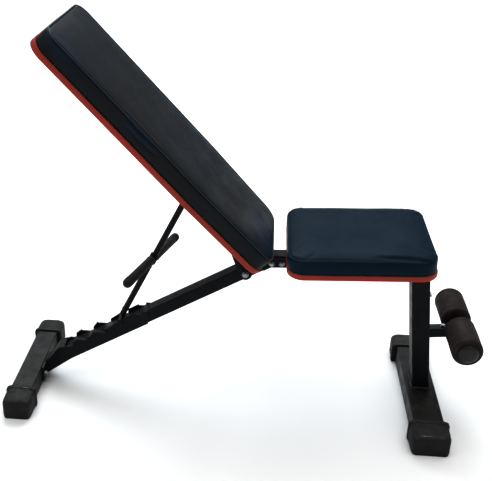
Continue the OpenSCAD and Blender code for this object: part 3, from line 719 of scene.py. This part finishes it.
SEAT_CREASES = [
    ([(0.010, SIDE_V - 0.006, TOP - 0.006), (0.060, SIDE_V - 0.010, TOP - 0.0025),
      (0.140, SIDE_V - 0.014, TOP - 0.0010)], 0.0026, 0.0045),
    ([(0.006, SIDE_V - 0.014, TOP - 0.003), (0.060, SIDE_V - 0.020, TOP),
      (0.150, SIDE_V - 0.022, TOP)], -0.0022, 0.0060),
    ([(0.004, SIDE_V - 0.030, TOP - 0.008), (0.022, SIDE_V - 0.024, TOP - 0.002)],
     0.0016, 0.0040),
    ([(0.008, SIDE_V - 0.009, TOP - 0.010), (0.040, SIDE_V - 0.0045, TOP - 0.010)],
     0.0012, 0.0035),
    ([(0.300, SIDE_V - 0.020, TOP), (0.325, SIDE_V - 0.040, TOP - 0.003)], 0.0010, 0.0050),
    ([(0.020, -SIDE_V + 0.012, TOP - 0.001), (0.090, -SIDE_V + 0.018, TOP)], 0.0010, 0.0060),
]
back_seam = cushion("back_cushion", "back_pad", IN_BACK, BACK, "backrest", "back_vinyl",
                    BACK_CREASES, cap=0.005, edge_r=0.008, side_in=0.0020, held=0.9,
                    groove=0.0007)
seat_seam = cushion("seat_cushion", "seat_pad", IN_SEAT, SEAT, "frame", "seat_vinyl",
                    SEAT_CREASES, cap=0.006, edge_r=0.016, side_in=0.0004, held=0.35,
                    groove=0.0003)


# ---- Bands: red vinyl round each board, folded under it and stapled ----
BAND_PROFILE = [  # outwards and up, in mm, from the board's lower outer corner
    (-2.9, 12.2), (-1.7, 12.7), (-0.5, 12.4), (0.2, 11.0), (0.5, 8.5), (0.6, 6.0), (0.5, 3.0),
    (0.1, 0.9), (-1.0, -0.5), (-2.8, -1.1), (-6.0, -1.15), (-11.0, -1.1), (-14.8, -1.05),
    (-16.0, -0.6), (-15.6, -0.05), (-11.0, -0.05), (-5.0, -0.05), (-3.0, 0.4),
]


def band(name, node, matrix, shape, body):
    verts = []
    for i in range(shape.count):
        (u, v), out, run = shape.points[i], shape.out[i], shape.run[i]
        pleat = shape.corner[i] * abs(math.sin(run * math.pi / 0.0075))
        sag = noise.noise((run * 25, 1.7, 0.3))
        cut = noise.noise((run * 60, 5.1, 2.2))
        for side, up in BAND_PROFILE:
            under = smooth_step(np.array((-side - 2.0) / 6.0)).item()
            side += 0.25 * sag * (1 - under) + 1.6 * cut * under * (side < -9)
            if up < -0.3:
                up -= 0.9 * pleat * under
            elif up > 1:
                up += 0.15 * sag
            verts.append((u + out[0] * side * MM, v + out[1] * side * MM, up * MM))
    faces = grid_faces(shape.count, len(BAND_PROFILE), True, True)
    made = piece(name, verts, faces, body, "band_red", matrix)
    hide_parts(node)


band("back_trim", "back_band", IN_BACK, BACK, "backrest")
band("seat_trim", "seat_band", IN_SEAT, SEAT, "frame")


# ---- Small repeated parts, each kind one piece per pad ----
def rods(paths, radius, sides=6):
    """Verts and faces of thin round rods along short paths, with closed ends."""
    verts, faces = [], []
    for path in paths:
        path = [Vector(q) for q in path]
        start = len(verts)
        for k, q in enumerate(path):
            a, b = path[max(k - 1, 0)], path[min(k + 1, len(path) - 1)]
            ahead = (b - a).normalized()
            side = ahead.cross(Vector((0.31, 0.17, 0.93))).normalized()
            up = side.cross(ahead)
            r = radius * (0.55 if k in (0, len(path) - 1) else 1)
            for j in range(sides):
                t = 2 * math.pi * j / sides
                verts.append(q + side * r * math.cos(t) + up * r * math.sin(t))
        faces += grid_faces(len(path), sides, False, True, start)
        faces.append(tuple(start + j for j in range(sides)))
        last = start + (len(path) - 1) * sides
        faces.append(tuple(last + j for j in reversed(range(sides))))
    return verts, faces


STITCH_PITCH = 5       # steps of about 1 mm
STITCH = ((0, -0.0006), (0.25, 0.00015), (0.75, 0.0002), (1, -0.0006))  # share, rise


def stitches(name, seam, matrix, body, inward):
    """Top stitching beside a seam: short threads that dip at both ends."""
    points, _ = along(np.vstack([seam, seam[:1]]))
    centre = points.mean(0)
    paths = []
    for k in range(0, len(points) - STITCH_PITCH, STITCH_PITCH):
        a, b = points[k], points[k + 3]
        ahead = (b - a) / max(np.linalg.norm(b - a), 1e-9)
        out = np.cross(ahead, (0, 0, 1))
        out *= np.sign(out @ (a - centre))
        lift = np.array((0, 0, 1.0)) * 0.75 + out * 0.65
        shift = (-0.75 * out + 0.65 * np.array((0, 0, 1.0))) * inward
        paths.append([a + (b - a) * f + shift + lift * rise for f, rise in STITCH])
    verts, faces = rods(paths, 0.00045)
    return piece(name, verts, faces, body, "thread", matrix)


stitches("back_stitching", back_seam, IN_BACK, "backrest", 0.0040)
stitches("seat_stitching", seat_seam, IN_SEAT, "frame", 0.0040)


def piping(name, seam, matrix, body, look, radius=0.0015):
    """The welt sewn into a pad's seam: a thin cord that stands a little proud."""
    middle = seam.mean(0)
    verts = []
    for k, q in enumerate(seam):
        ahead = seam[(k + 2) % len(seam)] - seam[k - 2]
        ahead /= np.linalg.norm(ahead)
        out = np.cross(ahead, (0, 0, 1))
        out *= np.sign(out @ (q - middle)) / np.linalg.norm(out)
        up = np.cross(out, ahead)
        up *= np.sign(up[2])
        sway = 0.0003 * noise.noise((k * 0.09, 2.4, 1.1))
        for j in range(10):
            t = 2 * math.pi * j / 10
            verts.append(q + out * (radius * (math.cos(t) + 0.3) + sway)
                         + up * radius * (math.sin(t) + 0.3))
    faces = grid_faces(len(seam), 10, True, True)
    return piece(name, verts, faces, body, look, matrix, sharp=180)


piping("back_piping", back_seam, IN_BACK, "backrest", "piping_vinyl")


STAPLE_EVERY = 9       # samples of the outline


def staples(name, shape, matrix, body):
    paths = []
    for i in range(0, shape.count, STAPLE_EVERY):
        (u, v), out = shape.points[i], shape.out[i]
        turn = 0.35 * noise.noise((i * 0.37, 4.2, 0.1))
        ahead = Vector((-out[1], out[0], 0))
        aside = Vector((out[0], out[1], 0))
        ahead = ahead * math.cos(turn) + aside * math.sin(turn)
        middle = Vector((u, v, 0)) - aside * (0.0105 + 0.0012 * noise.noise((i * 0.9, 0.2, 8)))
        legs = [(-0.0052, 0.0004), (-0.0050, -0.0016), (0.0050, -0.0016), (0.0052, 0.0004)]
        paths.append([middle + ahead * a + Vector((0, 0, z)) for a, z in legs])
    verts, faces = rods(paths, 0.0006)
    return piece(name, verts, faces, body, "zinc_steel", matrix)


staples("back_staples", BACK, IN_BACK, "backrest")
staples("seat_staples", SEAT, IN_SEAT, "frame")


# ---- Foam rollers ----
def rounded_foam(length, radius, bore, edge):
    """A roller's section, from one end's bore to the other's, grooved near both ends."""
    profile = [(0.0018, bore), (0.0010, bore + 0.003), (0.0003, bore + 0.009)]
    profile += [(edge * (1 - math.sin(t)), radius - edge * (1 - math.cos(t)))
                for t in np.radians(np.arange(90, -1, -10))]
    profile += [(0.0125, radius + 0.0001), (0.0138, radius - 0.0009), (0.0152, radius - 0.0002)]
    profile += [(run, radius) for run in np.linspace(0.02, length - 0.02, 26)]
    profile += [(length - run, r) for run, r in reversed(profile[:-26])]
    return profile


def roller(name, node, body, seed):
    low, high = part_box(node)
    centre = Vector(((low.x + high.x) / 2, low.y, (low.z + high.z) / 2))
    profile = rounded_foam(high.y - low.y, (high.z - low.z) / 2 - 0.0006, 0.0122, 0.008)
    verts, faces = lathe(profile, 1, centre, 144, 0.0006, seed)
    made = piece(name, verts, faces, body, "roller_foam")
    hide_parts(node)


roller("roller_sleeve_near", "roller_foam_near", "roller_near", 0.0)
roller("roller_sleeve_far", "roller_foam_far", "roller_far", 5.0)


# ---- Foot caps: chunky mouldings with a raised collar round their open end ----
def cap_section(half, low, high, chamfer):
    """A cap's outline across its foot: chamfered shoulders and a flat sole."""
    foot = 0.004
    return [(-half + foot, low), (half - foot, low), (half - 0.001, low + foot * 0.6),
            (half, low + foot * 1.4), (half, high - chamfer),
            (half - chamfer * 0.25, high - chamfer * 0.45),
            (half - chamfer, high - 0.0012), (half - chamfer * 1.35, high),
            (-half + chamfer * 1.35, high), (-half + chamfer, high - 0.0012),
            (-half + chamfer * 0.25, high - chamfer * 0.45), (-half, high - chamfer),
            (-half, low + foot * 1.4), (-half + 0.001, low + foot * 0.6)]


def foot_cap(name, node, tube, outward):
    low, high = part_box(node)
    inner, tube_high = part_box(tube)
    x = (low.x + high.x) / 2
    half, top, length = (high.x - low.x) / 2, high.z, high.y - low.y
    tube_half = (tube_high.x - inner.x) / 2
    mouth = high.y if outward < 0 else low.y
    sections = [  # run from the mouth, less width, less height, chamfer
        (0.004, half - tube_half - 0.0012, top - tube_high.z - 0.0012, 0.003),
        (0.0, half - tube_half - 0.0006, top - tube_high.z - 0.0006, 0.003),
        (0.0, 0.0022, 0.0015, 0.009), (0.0012, 0.0004, 0.0002, 0.010),
        (0.003, 0.0, 0.0, 0.010), (0.0085, 0.0, 0.0, 0.010), (0.0100, 0.0006, 0.0004, 0.010),
        (0.0112, 0.0022, 0.0018, 0.011), (0.014, 0.0026, 0.0022, 0.011),
        (length * 0.5, 0.0026, 0.0022, 0.011), (length - 0.012, 0.0032, 0.0026, 0.012),
        (length - 0.005, 0.0050, 0.0040, 0.012), (length - 0.0015, 0.0075, 0.0062, 0.012),
        (length, 0.0110, 0.0095, 0.012),
    ]
    verts = []
    for run, slim, drop, chamfer in sections:
        y = mouth + outward * run
        foot = 0.004 if run < 0.005 and drop > 0.003 else 0.0
        for a, z in cap_section(half - slim, foot, top - drop, chamfer):
            rise = 0.0 if z < 0.001 else 0.0004 * noise.noise((a * 60, y * 60, z * 60))
            verts.append((x + a, y, z + min(rise, top - z)))
    count = len(cap_section(half, 0, top, 0.01))
    faces = grid_faces(len(sections), count, False, True)
    faces.append(tuple(range(count)))
    faces.append(tuple(reversed(range(count * (len(sections) - 1), count * len(sections)))))
    made = piece(name, verts, faces, "frame", "cap_rubber", sharp=28)
    soften = made.modifiers.new("soften", "BEVEL")
    soften.width = 0.0012
    soften.segments = 3
    soften.angle_limit = math.radians(28)
    soften.harden_normals = True
    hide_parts(node)


for end in ("rear", "front"):
    for side, outward in (("near", -1), ("far", 1)):
        foot_cap(f"{end}_boot_{side}", f"{end}_cap_{side}", f"{end}_foot_tube", outward)


# ---- Handle grips: rubber sleeves with ring grooves at both ends ----
def long_axis(node):
    """A long node's mesh points and the unit direction that they spread along most."""
    co = mesh_points(NODES[node].data)
    return co, np.linalg.eigh(np.cov((co - co.mean(0)).T))[1][:, -1]


def grip(name, node, hub, outward):
    co, axis = long_axis(node)
    start = np.array((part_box(hub)[0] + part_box(hub)[1]) / 2)
    if axis[1] * outward < 0:
        axis = -axis
    runs = (co - start) @ axis
    off = np.linalg.norm((co - start) - runs[:, None] * axis, axis=1)
    first, last, r = runs.min(), runs.max(), off.max()
    length = last - first
    profile = [(0, 0.0), (0, r - 0.0030), (0.0006, r - 0.0008), (0.002, r), (0.005, r),
               (0.0062, r - 0.0004), (0.0075, r - 0.0008)]
    body_runs = np.linspace(0.009, length - 0.030, 60)
    profile += [(run, r - 0.0004 - 0.00025 * (1 + math.cos(run * 2 * math.pi / 0.006)))
                for run in body_runs]
    for k in range(3):
        at = length - 0.028 + k * 0.005
        profile += [(at, r - 0.0012), (at + 0.001, r - 0.0001), (at + 0.003, r - 0.0001),
                    (at + 0.004, r - 0.0013)]
    nose = r - 0.0004
    profile += [(length - nose + nose * math.sin(t), nose * math.cos(t))
                for t in np.radians(np.arange(0, 91, 10))]
    up = Vector(axis).cross(Vector((1, 0, 0))).normalized()
    side = up.cross(Vector(axis))
    frame_of = axes(side, Vector(axis), up, Vector(start + axis * first))
    verts, faces = lathe(profile, 1, Vector((0, 0, 0)), 64)
    verts = [frame_of @ v for v in verts]
    made = piece(name, verts, faces, "strut", "grip_rubber")
    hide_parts(node)


grip("grip_sleeve_near", "grip_near", "handle_hub", -1)
grip("grip_sleeve_far", "grip_far", "handle_hub", 1)


# ---- Weld beads ----
def bead(path, radius=0.0022, closed=False, seed=0.0):
    """Verts and faces of a rippled weld bead along a path of points."""
    path = list(path) + ([path[0]] if closed else [])
    points, _ = along(path, 0.0009)
    if closed:
        points = points[:-1]
    count = len(points)
    verts = []
    for k, q in enumerate(points):
        a = points[(k - 2) % count if closed else max(k - 2, 0)]
        b = points[(k + 2) % count if closed else min(k + 2, count - 1)]
        ahead = Vector(b - a).normalized()
        side = ahead.orthogonal().normalized()
        up = side.cross(ahead)
        ripple = 0.80 + 0.20 * abs(math.sin(k * 0.95)) + 0.16 * noise.noise((k * 0.11, seed, 1.3))
        end = 1 if closed else min(1.0, 0.35 + 0.25 * min(k, count - 1 - k))
        r = radius * ripple * end
        wander = 0.0004 * noise.noise((k * 0.05, seed, 6.1))
        for j in range(8):
            t = 2 * math.pi * j / 8
            verts.append(Vector(q) + side * (r * math.cos(t) + wander) + up * r * math.sin(t))
    faces = grid_faces(count, 8, closed, True)
    if not closed:
        faces.append(tuple(range(8)))
        faces.append(tuple(reversed(range((count - 1) * 8, count * 8))))
    return verts, faces


def welds(name, body, paths, radius=0.0022, look="frame_paint"):
    verts, faces = [], []
    for k, (path, closed) in enumerate(paths):
        v, f = bead(np.array(path, float), radius, closed, k * 3.7)
        faces += [tuple(i + len(verts) for i in face) for face in f]
        verts += v
    return piece(name, verts, faces, body, look, sharp=180)


def loop(middle, across, up):
    """The corners of a rectangle, each cut off so that a bead turns smoothly round it."""
    middle, across, up = (np.array(tuple(q), float) for q in (middle, across, up))
    cut = 0.84
    out = []
    for a, b in ((1, 1), (-1, 1), (-1, -1), (1, -1)):
        first = (a, b * cut) if a * b > 0 else (a * cut, b)
        second = (a * cut, b) if a * b > 0 else (a, b * cut)
        out += [middle + across * p + up * q for p, q in (first, second)]
    return out


POST_HALF_W = 0.0215            # across the post, square to its lean
PLATE_WELD_Y = 0.0225
RACK_WELD_Y = 0.0182
STRAP_WELD_Y = (0.0165, 0.0045)
BAR_RISE = 0.015                # of the rollers' axis above the arm's
foot_low, foot_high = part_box("front_foot_tube")
post_low, post_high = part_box("front_post")
FOOT_TOP = foot_high.z
POST_X = (foot_low.x + foot_high.x) / 2
POST_LEAN = math.radians(7)
POST_W = 2 * POST_HALF_W / math.cos(POST_LEAN)
post_half_d = (post_high.y - post_low.y) / 2
post_loop = loop((POST_X, 0, FOOT_TOP + 0.0006), (POST_W / 2 + 0.0008, 0, 0),
                 (0, post_half_d + 0.0008, 0))
# The pale bead material paints the post weld's highlight.
welds("post_weld", "frame", [(post_loop, True)], 0.0030, "weld_paint_and_highlight")

# The arm meets the post's sloping outer face
post_up = Vector((-math.sin(POST_LEAN), 0, math.cos(POST_LEAN)))
post_out = Vector((math.cos(POST_LEAN), 0, math.sin(POST_LEAN)))
arm_low, arm_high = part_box("roller_arm")
arm_half = (arm_high.y - arm_low.y) / 2
face_point = Vector((POST_X, 0, FOOT_TOP)) + post_out * POST_HALF_W
ARM_ANGLE = math.radians(6)
arm_run = Vector((math.cos(ARM_ANGLE), 0, math.sin(ARM_ANGLE)))
bar_low, bar_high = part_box("roller_bar")
roller_axis = (bar_low + bar_high) / 2
arm_line = Vector((roller_axis.x, 0, roller_axis.z - BAR_RISE))
back_off = (face_point - arm_line).dot(post_out) / arm_run.dot(post_out)
arm_root = arm_line + arm_run * back_off
arm_loop = loop(arm_root, (0, arm_half + 0.0006, 0), post_up * (arm_half + 0.0014))

# Where the end plate meets the foot, and where the rack plates end on the beam
plate_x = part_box("beam_end_plate")[1].x
beam_foot_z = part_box("lower_beam")[0].z
rack_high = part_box("rack_plate_near")[1]
frame_paths = [(arm_loop, True)]
for side in (-1, 1):
    frame_paths.append(([(plate_x, side * PLATE_WELD_Y, z) for z in
                         (beam_foot_z + 0.002, FOOT_TOP - 0.003)], False))
for side in (-1, 1):
    frame_paths.append(([(rack_high.x + 0.0004, side * RACK_WELD_Y, rack_high.z - drop)
                         for drop in (0.033, 0.002)], False))
for strap in ("seat_strap_rear", "seat_strap_front"):
    low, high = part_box(strap)
    for x in (low.x + 0.0006, high.x - 0.0006):
        for side in (-1, 1):
            z = low.z + (x - low.x) * math.tan(SEAT_TILT)
            frame_paths.append(([(x, side * y, z) for y in STRAP_WELD_Y], False))
welds("frame_welds", "frame", frame_paths)


def back_point(run, y, n):
    """A point at a run along the backrest from the hinge, across it and up from the hinge."""
    return IN_BACK @ Vector((run - PAD_START, -y, n - BOARD_LIFT))


STRAP_RUNS = (0.080, 0.238, 0.560)
RAIL_TOP = 0.050
RAIL_H = 0.020
RAIL_Y = (0.027, 0.055)
back_paths = []
for run in STRAP_RUNS:
    for edge in (-0.0204, 0.0204):
        for side in (-1, 1):
            back_paths.append(([back_point(run + edge, side * RAIL_Y[0], RAIL_TOP),
                                back_point(run + edge, side * RAIL_Y[1], RAIL_TOP)], False))
        if run == STRAP_RUNS[1]:
            back_paths.append(([back_point(run + edge * 0.5, -0.0145, RAIL_TOP - 0.0006),
                                back_point(run + edge * 0.5, -0.0095, RAIL_TOP - 0.0006)], False))
for side in (-1, 1):
    back_paths.append(([back_point(0.024, side * 0.027, RAIL_TOP - RAIL_H),
                        back_point(0.108, side * 0.027, RAIL_TOP - RAIL_H)], False))
    for cheek in (0.0098, 0.0142):
        back_paths.append(([back_point(STRAP_RUNS[1] - 0.014, side * cheek, RAIL_TOP - 0.0004),
                            back_point(STRAP_RUNS[1] + 0.014, side * cheek, RAIL_TOP - 0.0004)],
                           False))
welds("back_welds", "backrest", back_paths)

_, axis = long_axis("strut_rod")
hub_low, hub_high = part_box("handle_hub")
hub_middle = np.array((hub_low + hub_high) / 2)
HUB_WELD_RUN = 0.0117           # from the hub's middle, along the strut
HUB_WELD_R = 0.0086
side = np.cross(axis, (0, 1, 0))
rings = []
for end in (-1, 1):
    at = hub_middle + axis * end * HUB_WELD_RUN
    rings.append(([at + HUB_WELD_R * (side * math.cos(t) + np.array((0, 1, 0)) * math.sin(t))
                   for t in np.linspace(0, 2 * math.pi, 24, endpoint=False)], True))
welds("strut_welds", "strut", rings, 0.0009)

# ---- Floor, light and camera ----
bpy.ops.mesh.primitive_plane_add(size=60, location=(0, 0, 0))
floor = bpy.context.object
floor.name = "floor"
f = Nodes("floor", 0.9, 0.05)
f.finish(f.mix(f.noise(0.6, 2), (0.86, 0.86, 0.86), (0.87, 0.87, 0.87)))
floor.data.materials.append(M["floor"])
floor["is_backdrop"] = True

world = bpy.data.worlds.new("studio")
bpy.context.scene.world = world
world.use_nodes = True
background = world.node_tree.nodes["Background"]
background.inputs["Color"].default_value = (0.93, 0.97, 1.0, 1)
background.inputs["Strength"].default_value = 0.36


def area(name, place, aim, size, power, colour):
    light = bpy.data.lights.new(name, "AREA")
    light.shape = "RECTANGLE"
    light.size, light.size_y = size
    light.energy = power
    light.color = colour
    obj = bpy.data.objects.new(name, light)
    bpy.context.scene.collection.objects.link(obj)
    obj.location = place
    obj.rotation_euler = (Vector(aim) - Vector(place)).to_track_quat("-Z", "Y").to_euler()


area("window", (-0.6, 2.6, 3.4), (0, 0, 0.4), (3.4, 2.4), 125, (0.86, 0.94, 1.0))
area("side", (-3.2, -1.6, 2.2), (0, 0, 0.4), (2.0, 2.0), 18, (1.0, 0.98, 0.95))

# A wide, even light from overhead keeps the floor the same white all over
overhead = bpy.data.objects.new("overhead", bpy.data.lights.new("overhead", "SUN"))
overhead.data.energy = 2.6
overhead.data.angle = math.radians(70)
overhead.data.color = (1.0, 0.99, 0.97)
overhead.rotation_euler = (math.radians(-8), math.radians(4), 0)
bpy.context.scene.collection.objects.link(overhead)

EYE = (0.045, -1.6359, 1.3154)
YAW, PITCH, ROLL = -0.069, 0.440, -0.020
camera = bpy.data.objects.new("camera", bpy.data.cameras.new("camera"))
bpy.context.scene.collection.objects.link(camera)
camera.matrix_world = (Matrix.Translation(EYE)
                       @ Matrix.Rotation(-YAW, 4, "Z")
                       @ Matrix.Rotation(math.pi / 2 - PITCH, 4, "X")
                       @ Matrix.Rotation(-ROLL, 4, "Z"))
camera.data.sensor_width = 36
camera.data.sensor_fit = "HORIZONTAL"
camera.data.lens = 56.62
camera.data.shift_x, camera.data.shift_y = 0.0626, -0.0854
bpy.context.scene.camera = camera
bpy.context.scene.view_settings.view_transform = "Standard"
bpy.context.scene.view_settings.gamma = 0.76

low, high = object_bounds()
